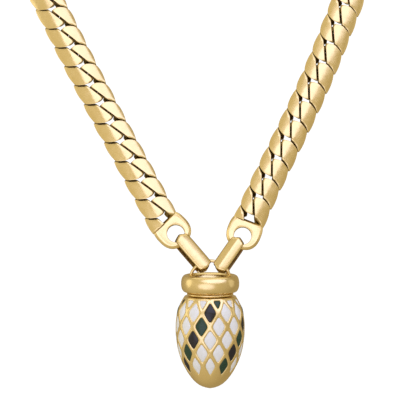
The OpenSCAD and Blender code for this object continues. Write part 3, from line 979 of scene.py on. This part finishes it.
def connector_rings(fittings, side):
    """A connector in its own place: u from cap hole to ring, y across, z to the viewer.

    Gives its rings, the painted shade of each point, on the end bends and the inner face, and the place.
    """
    edge, turn = CAP_EDGE[side], CAP_TURN[side]
    hole = np.array([edge[0] + CAP_HOLE_X * cos(turn), edge[1] + CAP_HOLE_X * sin(turn)])
    ring_r = mm(fittings.ring_radius)
    x = RING_CONTACT_X[side]
    contact = np.array([x, RING_CENTRE_Z + sqrt(ring_r**2 - x**2)])
    reach = contact - hole
    thickness = mm(fittings.strip_thickness)
    half = mm(fittings.connector_depth) / 2
    wide, narrow = mm(fittings.strip_width) / 2, STRIP_END_WIDTH / 2
    inner_from = sqrt((mm(fittings.cap_hole_radius) - SEAT_GAP) ** 2 - narrow**2)
    inner_to = np.linalg.norm(reach) + mm(fittings.ring_wire_radius) + WIRE_ROOM[side]
    outer, normal = bent_outline(inner_from - thickness, inner_to + thickness, half, STRIP_BEND_R)
    inner, _ = bent_outline(inner_from, inner_to, half - thickness, STRIP_BEND_R - thickness)
    rings, painted_shade = [], []
    for o, i, n in zip(outer, inner, normal):
        from_end = max(min(o[0] - inner_from, inner_to + thickness - o[0]), 0)
        share = max(rising(from_end, 0, STRIP_SHOULDER), quarter_round((half - o[1]) / TOP_DEPTH))
        barrel = BARREL_END + (1 - BARREL_END) * quarter_round(1 - from_end / BARREL_REACH)
        w = narrow + (wide - narrow) * share * barrel
        # Painted shade on the end bends below the top face, and an even painted shade on the inner face
        bend_shade = abs(n[0]) * falling(o[1], half - END_SHADE_FROM, END_SHADE_LENGTH)
        painted_shade += [bend_shade] * TOP_POINTS + [INNER_SHADE] * INNER_POINTS
        ring = []
        for y in np.linspace(-1, 1, TOP_POINTS):
            fall = RIDGE_FALL * sqrt(y * y + RIDGE_ROUNDING) + STRIP_CROWN * y * y
            past_edge = soft_ramp(abs(y) - STRIP_EDGE_FROM, STRIP_EDGE_CORNER)
            fall += STRIP_EDGE_FALL * past_edge / (1 - STRIP_EDGE_FROM)
            p = o - n * fall
            arched = END_ARCH * y * y * rising(o[1], *ARCH_UP)
            ring.append([p[0] - n[0] * arched, y * w, p[1]])
        for y in np.linspace(1, -1, INNER_POINTS):
            p = i + n * INNER_CROWN * abs(y)
            ring.append([p[0], y * (w - INNER_INSET), p[1]])
        rings.append(ring)
    origin, (along, across, out) = chest_frame(hole[0], hole[1], atan2(reach[1], reach[0]))
    roll = STRIP_ROLL[side]
    axes = np.array([along, cos(roll) * across + sin(roll) * out, cos(roll) * out - sin(roll) * across])
    return rings, painted_shade, (origin, axes)


class NECKLACE_OT_connectors(Operator):
    """Build the two ridged strips that join the end caps to the jump ring"""
    bl_idname = "necklace.connectors"
    bl_label = "Connectors"

    def execute(self, context):
        scene = context.scene
        for side, name in SIDE_NAMES.items():
            rings, painted_shade, place = connector_rings(scene.necklace_fittings, side)
            shape = Shape()
            shape.add_loops([put(ring, *place) for ring in rings], closed=True, painted_shade=painted_shade)
            finished_piece(f"strip_{name}", shape, "necklace", [f"connector_{name}"], gold_finish(scene))
        return {"FINISHED"}


def round_wire(path, r):
    """Rings of a round wire along a closed path in the plane of x and z."""
    sides = 20
    rings = []
    n = len(path)
    for j in range(n):
        way = path[(j + 1) % n] - path[j - 1]
        out = np.array([way[1], -way[0]]) / np.linalg.norm(way)
        ring = []
        for i in range(sides):
            b = 2 * pi * i / sides
            p = path[j] + out * r * cos(b)
            ring.append(SWING_AXIS + np.array([p[0], r * sin(b), p[1]]))
        rings.append(ring)
    return rings


class NECKLACE_OT_jump_ring(Operator):
    """Build the round wire ring that carries the pendant"""
    bl_idname = "necklace.jump_ring"
    bl_label = "Jump Ring"

    def execute(self, context):
        fittings = context.scene.necklace_fittings
        r = mm(fittings.ring_radius)
        arc_steps, foot_steps, corner_rounds = 72, 16, 4
        arc = [[r * cos(a), RING_CENTRE_Z + r * sin(a)]
               for a in np.linspace(LEG_ANGLE, pi - LEG_ANGLE, arc_steps)]
        foot = [[x, RING_FLOOR_Z] for x in np.linspace(-RING_FLOOR_X, RING_FLOOR_X, foot_steps)]
        path = np.array(arc + foot)
        corners = [*range(arc_steps - 2, arc_steps + 3), -2, -1, 0, 1]
        for _ in range(corner_rounds):
            path[corners] = [(path[i - 1] + 2 * path[i] + path[(i + 1) % len(path)]) / 4 for i in corners]
        shape = Shape()
        shape.add_loops(round_wire(path, mm(fittings.ring_wire_radius)), closed=True)
        finished_piece("ring_wire", shape, "pendant", ["jump_ring"], gold_finish(context.scene))
        return {"FINISHED"}


# Pendant

class NECKLACE_OT_cap_ring(Operator):
    """Build the fat oval ring on top of the drop, with its cross bar"""
    bl_idname = "necklace.cap_ring"
    bl_label = "Cap Ring"

    def execute(self, context):
        pendant = context.scene.necklace_pendant
        rx = (mm(pendant.cap_ring_width) - CAP_RING_WALL) / 2
        ry = (mm(pendant.cap_ring_depth) - CAP_RING_WALL) / 2
        half = mm(pendant.cap_ring_height) / 2
        ring_steps, tube_sides, bar_sides = 112, 36, 24
        rings = []
        for a in turns(ring_steps):
            out = unit(np.array([cos(a) / rx, sin(a) / ry, 0]))
            middle = SWING_AXIS + np.array([rx * cos(a), ry * sin(a), CAP_RING_Z])
            ring = []
            for b in turns(tube_sides):
                side = CAP_RING_WALL / 2 * power(cos(b), TUBE_SQUARENESS)
                ring.append(middle + out * side - np.array([0, 0, half * power(sin(b), TUBE_SQUARENESS)]))
            rings.append(ring)
        shape = Shape()
        shape.add_loops(rings, closed=True)
        bar_rings = []
        for y, grow in BAR_FLARE:
            r = BAR_R + grow
            bar_rings.append([SWING_AXIS + np.array([r * cos(b), y * ry, BAR_Z + r * sin(b)])
                              for b in turns(bar_sides)])
        shape.add_loops(bar_rings)
        finished_piece("oval_ring", shape, "pendant", ["cap_ring"], gold_finish(context.scene))
        return {"FINISHED"}


class NECKLACE_OT_collar(Operator):
    """Build the thin oval step under the cap ring"""
    bl_idname = "necklace.collar"
    bl_label = "Collar"

    def execute(self, context):
        flatness = context.scene.necklace_pendant.drop_flatness
        half = COLLAR_WIDTH / 2
        low = COLLAR_TOP - COLLAR_HEIGHT
        steps = 96
        profile = [(0, COLLAR_TOP), *((half - inset, COLLAR_TOP - fall) for inset, fall in COLLAR_UPPER_EDGE),
                   *((half - inset, low + rise) for inset, rise in COLLAR_LOWER_EDGE), (0, low)]
        rings = [[SWING_AXIS + np.array([r * cos(a), r * flatness * sin(a), z]) for a in turns(steps)]
                 for r, z in profile]
        shape = Shape()
        shape.add_loops(rings)
        gold = gold_finish(context.scene)
        finished_piece("collar_step", shape, "pendant", ["collar"], gold, merge=MERGE_DISTANCE)
        return {"FINISHED"}


class DropSkin:
    """The smooth outer skin of the drop, over an angle round it and a depth down it."""

    def __init__(self, pendant):
        self.half = mm(pendant.drop_width) / 2
        self.flatness = pendant.drop_flatness
        self.step = 2 * pi / pendant.columns
        self.columns = pendant.columns

    def point(self, a, z, lift=0.0):
        """The point at an angle and a depth, lifted off the skin by a height."""
        r = self.half * smooth_through(DROP_PROFILE, z)
        base = np.array([r * sin(a), -r * self.flatness * cos(a), DROP_TOP - z])
        if lift:
            base = base + lift * self.out(a, z)
        return SWING_AXIS + base

    def out(self, a, z):
        """The way out of the skin."""
        below = smooth_through(DROP_PROFILE, z + SLOPE_NUDGE)
        above = smooth_through(DROP_PROFILE, z - SLOPE_NUDGE)
        slope = (below - above) / (2 * SLOPE_NUDGE)
        return unit(np.array([sin(a), -cos(a) / self.flatness, slope * self.half]))

    def cells(self):
        """Row and number of every cell of the lattice."""
        return [(row, k) for row in range(ROWS) for k in range(self.columns)]

    def middle(self, row, k):
        """The middle of a cell. The first row's cells are triangles, cut off by the drop's top."""
        depth = ROW_HEIGHT / 3 if row == 0 else row * ROW_HEIGHT
        return (k + 0.5 + (row % 2) / 2) * self.step, depth

    def corners(self, row, k):
        """The corners of a cell as (angle, depth), in order round it."""
        a = (k + (row % 2) / 2) * self.step
        z = row * ROW_HEIGHT
        points = [(a, z), (a + self.step / 2, z - ROW_HEIGHT), (a + self.step, z),
                  (a + self.step / 2, z + ROW_HEIGHT)]
        return points[:1] + points[2:] if row == 0 else points

    def edge(self, row, k):
        """Points round a cell's boundary, the same number on each side."""
        corners = self.corners(row, k)
        points = []
        for i, here in enumerate(corners):
            there = corners[(i + 1) % len(corners)]
            for j in range(SIDE_POINTS):
                t = j / SIDE_POINTS
                points.append([here[0] + (there[0] - here[0]) * t, here[1] + (there[1] - here[1]) * t])
        return np.array(points)

    def rim(self, row, k, margin):
        """The boundary pulled in by a margin in millimetres, with its corners rounded."""
        edge = self.edge(row, k)
        middle = np.array(self.middle(row, k))
        corners = self.corners(row, k)
        left, right = self.point(*corners[0]), self.point(*corners[2 if row else 1])
        across = np.linalg.norm(right - left) / 2
        inner = across * ROW_HEIGHT / hypot(across, ROW_HEIGHT) * (1 if row else 2 / 3)
        share = 1 - margin / inner
        scale = np.array([self.step / 2, ROW_HEIGHT])
        flat = (edge - middle) / scale
        reach = np.linalg.norm(flat, axis=1)
        smooth = reach.copy()
        for _ in range(CORNER_ROUNDS):
            smooth = (np.roll(smooth, 1) + 2 * smooth + np.roll(smooth, -1)) / 4
        pulled = np.minimum(reach, smooth) / reach * share
        return middle + (edge - middle) * pulled[:, None]

    def lay(self, flat, lift):
        """Puts (angle, depth) points on the skin, lifted by a height."""
        return [self.point(a, z, lift) for a, z in flat]


class NECKLACE_OT_drop(Operator):
    """Build the gold drop with its raised lattice"""
    bl_idname = "necklace.drop"
    bl_label = "Gold Drop"

    def execute(self, context):
        pendant = context.scene.necklace_pendant
        skin = DropSkin(pendant)
        bed = -mm(pendant.bed_depth) * BED_SHARE
        line = mm(pendant.line_width) / 2
        shape = Shape()
        for row, k in skin.cells():
            edge = skin.edge(row, k)
            middle = np.array(skin.middle(row, k))
            rim = skin.rim(row, k, line)
            wall = middle + (rim - middle) * WALL_SHARE
            rings = [skin.lay(edge + (rim - edge) * share, lift) for share, lift in LINE_EDGE]
            rings += [skin.lay(wall, bed), skin.lay(middle + (wall - middle) * 0.5, bed)]
            shape.add_loops(rings)
            shape.close_ring(len(shape.points) - len(edge), len(edge), skin.point(*middle, bed))
        self.close_nose(skin, shape)
        self.close_top(skin, shape)
        gold = gold_finish(context.scene)
        finished_piece("drop_lattice", shape, "pendant", ["drop_body"], gold, merge=MERGE_DISTANCE)
        return {"FINISHED"}

    def close_nose(self, skin, shape):
        """Plain gold between the lowest lozenges, and the round nose below them."""
        low = ROWS * ROW_HEIGHT
        for k in range(skin.columns):
            left = (k + (ROWS % 2) / 2) * skin.step
            rows = []
            for j in range(SIDE_POINTS + 1):
                t = j / SIDE_POINTS
                z = low - ROW_HEIGHT * t
                start, end = left + skin.step / 2 * t, left + skin.step - skin.step / 2 * t
                count = SIDE_POINTS - j
                rows.append([skin.point(start + (end - start) * i / max(count, 1), z)
                             for i in range(count + 1)])
            for lower, upper in zip(rows, rows[1:]):
                faces = [[i, i + 1, len(lower) + i] for i in range(len(upper))]
                faces += [[i + 1, len(lower) + i + 1, len(lower) + i] for i in range(len(upper) - 1)]
                shape.add(lower + upper, faces)
        count = skin.columns * SIDE_POINTS
        start = (ROWS % 2) / 2 * skin.step
        shape.add_loops([[skin.point(start + 2 * pi * i / count, z) for i in range(count)]
                         for z in [low, *NOSE_DEPTHS]])
        tip = SWING_AXIS + np.array([0, 0, DROP_TOP - TIP_DEPTH])
        shape.close_ring(len(shape.points) - count, count, tip)

    def close_top(self, skin, shape):
        """The flat top of the drop under the collar."""
        count = skin.columns * SIDE_POINTS
        ring = [skin.point(2 * pi * i / count, 0) for i in range(count)]
        centre = SWING_AXIS + np.array([0, 0, DROP_TOP])
        inner = [centre + (p - centre) * TOP_BAND_SHARE for p in ring]
        shape.add_loops([ring, inner])
        shape.close_ring(len(shape.points) - count, count, centre)


def cell_colour(row, k):
    """Every third band that winds round the drop is green and black in turn, and the rest is white."""
    band = (2 * k + row % 2 + row) // 2
    cross_band = (2 * k + row % 2 - row) // 2 + ROWS
    if band % 3:
        return "white"
    return "black" if cross_band % 2 else "green"


class NECKLACE_OT_enamel(Operator):
    """Build the enamel in the lozenges"""
    bl_idname = "necklace.enamel"
    bl_label = "Enamel"

    def execute(self, context):
        pendant, finish = context.scene.necklace_pendant, context.scene.necklace_finish
        skin = DropSkin(pendant)
        line = mm(pendant.line_width) / 2
        foot = -mm(pendant.bed_depth) * BED_SHARE + TILE_CLEARANCE
        for colour in ("white", "green", "black"):
            shape = Shape()
            for row, k in skin.cells():
                if cell_colour(row, k) != colour:
                    continue
                middle = np.array(skin.middle(row, k))
                rim = skin.rim(row, k, line)
                tile = (rim - middle) * TILE_SHARE
                rings = [skin.lay(middle + tile * 0.5, foot), skin.lay(middle + tile, foot)]
                rings += [skin.lay(middle + tile * share, lift) for share, lift in TILE_DOME]
                first = len(shape.points)
                shape.add_loops(rings)
                shape.close_ring(len(shape.points) - len(tile), len(tile), skin.point(*middle, 0))
                shape.close_ring(first, len(tile), skin.point(*middle, foot))
            name = f"enamel_{colour}"
            material = vitreous_enamel(f"{colour}_enamel", tuple(getattr(finish, colour)))
            finished_piece(f"tiles_{colour}", shape, "pendant", [name], material)
        return {"FINISHED"}


# Studio

def soft_panel(name, place, aim, size, watts, colour):
    """A soft oval light that the camera doesn't see."""
    light = bpy.data.lights.new(name, "AREA")
    light.shape = "ELLIPSE"
    light.size, light.size_y = size
    light.energy = watts
    light.color = colour
    lamp = bpy.data.objects.new(name, light)
    lamp.location = place
    lamp.rotation_euler = (Vector(aim) - Vector(place)).to_track_quat("-Z", "Y").to_euler()
    lamp.visible_camera = False
    bpy.context.scene.collection.objects.link(lamp)


class NECKLACE_OT_stage(Operator):
    """Set up the floor, the light and the camera"""
    bl_idname = "necklace.stage"
    bl_label = "Stage"

    def execute(self, context):
        scene = context.scene
        stage = scene.necklace_stage
        self.floor(scene)
        for name, place, size, share, colour in PANELS:
            soft_panel(name, place, STAGE_MIDDLE, size, stage.panel_power * share, colour)
        self.room(scene, stage.room_level)
        scene.view_settings.view_transform = "Standard"
        self.camera(scene, stage)
        return {"FINISHED"}

    def room(self, scene, level):
        """Warm light all round, dimmer from the right, from behind the necklace and from below."""
        world = scene.world or bpy.data.worlds.new("Room")
        scene.world = world
        world.use_nodes = True
        nodes, links = world.node_tree.nodes, world.node_tree.links
        background = nodes["Background"]
        background.inputs["Strength"].default_value = level
        direction = nodes.new("ShaderNodeTexCoord")
        turned = nodes.new("ShaderNodeVectorMath")
        turned.operation = "DOT_PRODUCT"
        turned.inputs[1].default_value = DIM_WAY
        links.new(direction.outputs["Generated"], turned.inputs[0])
        dimming = nodes.new("ShaderNodeMapRange")
        dimming.inputs["From Min"].default_value, dimming.inputs["From Max"].default_value = DIM_RANGE
        links.new(turned.outputs["Value"], dimming.inputs["Value"])
        shade = blend_colours(nodes, links, dimming.outputs["Result"], WARM_LIGHT, DIM_LIGHT)
        links.new(shade, background.inputs["Color"])

    def floor(self, scene):
        """A wide pale floor that curves up into a round backdrop on every side."""
        around, bend_steps = 64, 12
        flat_reach, bend_middle = FLOOR_REACH - FLOOR_BEND, FLOOR_Z + FLOOR_BEND
        profile = [(flat_reach + FLOOR_BEND * sin(a), bend_middle - FLOOR_BEND * cos(a))
                   for a in np.linspace(0, pi / 2, bend_steps)]
        profile += [(FLOOR_REACH, BACKDROP_TOP)]
        points = [(r * cos(a), r * sin(a), z) for r, z in profile for a in turns(around)]
        faces = [[j * around + i, j * around + (i + 1) % around,
                  (j + 1) * around + (i + 1) % around, (j + 1) * around + i]
                 for j in range(len(profile) - 1) for i in range(around)]
        faces.append(list(range(around)))
        mesh = bpy.data.meshes.new("floor")
        mesh.from_pydata(points, [], faces)
        mesh.shade_smooth()
        sweep = bpy.data.objects.new("floor", mesh)
        scene.collection.objects.link(sweep)
        material, nodes, links, shader, place = node_material("pale_floor")
        shade = spread(nodes, links, noise(nodes, links, place, scale=3, detail=2), 0, 1)
        links.new(blend_colours(nodes, links, shade, (0.93, 0.93, 0.93), (0.95, 0.95, 0.95)),
                  shader.inputs["Base Color"])
        shader.inputs["Roughness"].default_value = 0.9
        shader.inputs["Emission Color"].default_value = (0.97, 0.98, 1, 1)
        shader.inputs["Emission Strength"].default_value = 1.1
        mesh.materials.append(material)
        sweep.visible_diffuse = False
        sweep.visible_glossy = False
        sweep.visible_shadow = False

    def camera(self, scene, stage):
        """A long lens in front of the necklace, a little above it."""
        forward = Vector((0, cos(stage.elevation), -sin(stage.elevation)))
        up = Vector((0, sin(stage.elevation), cos(stage.elevation)))
        aim = Vector(SWING_AXIS * MM) + Vector((AIM_ACROSS, 0, 0)) + up * AIM_UP
        data = bpy.data.cameras.new("camera")
        data.sensor_width = SENSOR_WIDTH
        data.lens = SENSOR_WIDTH * stage.distance / stage.view_width
        data.clip_end = 20
        camera = bpy.data.objects.new("camera", data)
        camera.location = aim - forward * stage.distance
        camera.rotation_euler = forward.to_track_quat("-Z", "Y").to_euler()
        scene.collection.objects.link(camera)
        scene.camera = camera


class NECKLACE_PT_sidebar(Panel):
    """Sizes, finishes and builders of the necklace."""
    bl_label = "Necklace"
    bl_space_type = "VIEW_3D"
    bl_region_type = "UI"
    bl_category = "Necklace"

    def draw(self, context):
        layout, scene = self.layout, context.scene
        for title, holder, operators in SECTIONS:
            box = layout.box()
            box.label(text=title)
            settings = getattr(scene, holder)
            for key in settings.bl_rna.properties.keys():
                if key not in ("rna_type", "name"):
                    box.prop(settings, key)
            for operator in operators:
                box.operator(operator.bl_idname)


SECTIONS = [
    ("Chain", "necklace_chain", [NECKLACE_OT_chain]),
    ("Fittings", "necklace_fittings",
     [NECKLACE_OT_end_caps, NECKLACE_OT_clasp, NECKLACE_OT_connectors, NECKLACE_OT_jump_ring]),
    ("Pendant", "necklace_pendant",
     [NECKLACE_OT_cap_ring, NECKLACE_OT_collar, NECKLACE_OT_drop, NECKLACE_OT_enamel]),
    ("Finish", "necklace_finish", []),
    ("Stage", "necklace_stage", [NECKLACE_OT_stage]),
]
HOLDERS = {
    "necklace_chain": NECKLACE_PG_chain,
    "necklace_fittings": NECKLACE_PG_fittings,
    "necklace_pendant": NECKLACE_PG_pendant,
    "necklace_finish": NECKLACE_PG_finish,
    "necklace_stage": NECKLACE_PG_stage,
}
OPERATORS = [operator for _, _, operators in SECTIONS for operator in operators]


def register():
    for holder, group in HOLDERS.items():
        bpy.utils.register_class(group)
        setattr(bpy.types.Scene, holder, PointerProperty(type=group))
    for operator in OPERATORS:
        bpy.utils.register_class(operator)
    bpy.utils.register_class(NECKLACE_PT_sidebar)


def unregister():
    bpy.utils.unregister_class(NECKLACE_PT_sidebar)
    for operator in reversed(OPERATORS):
        bpy.utils.unregister_class(operator)
    for holder, group in reversed(list(HOLDERS.items())):
        delattr(bpy.types.Scene, holder)
        bpy.utils.unregister_class(group)


def main():
    register()
    for operator in OPERATORS:
        family, name = operator.bl_idname.split(".")
        getattr(getattr(bpy.ops, family), name)()


if __name__ == "__main__":
    main()
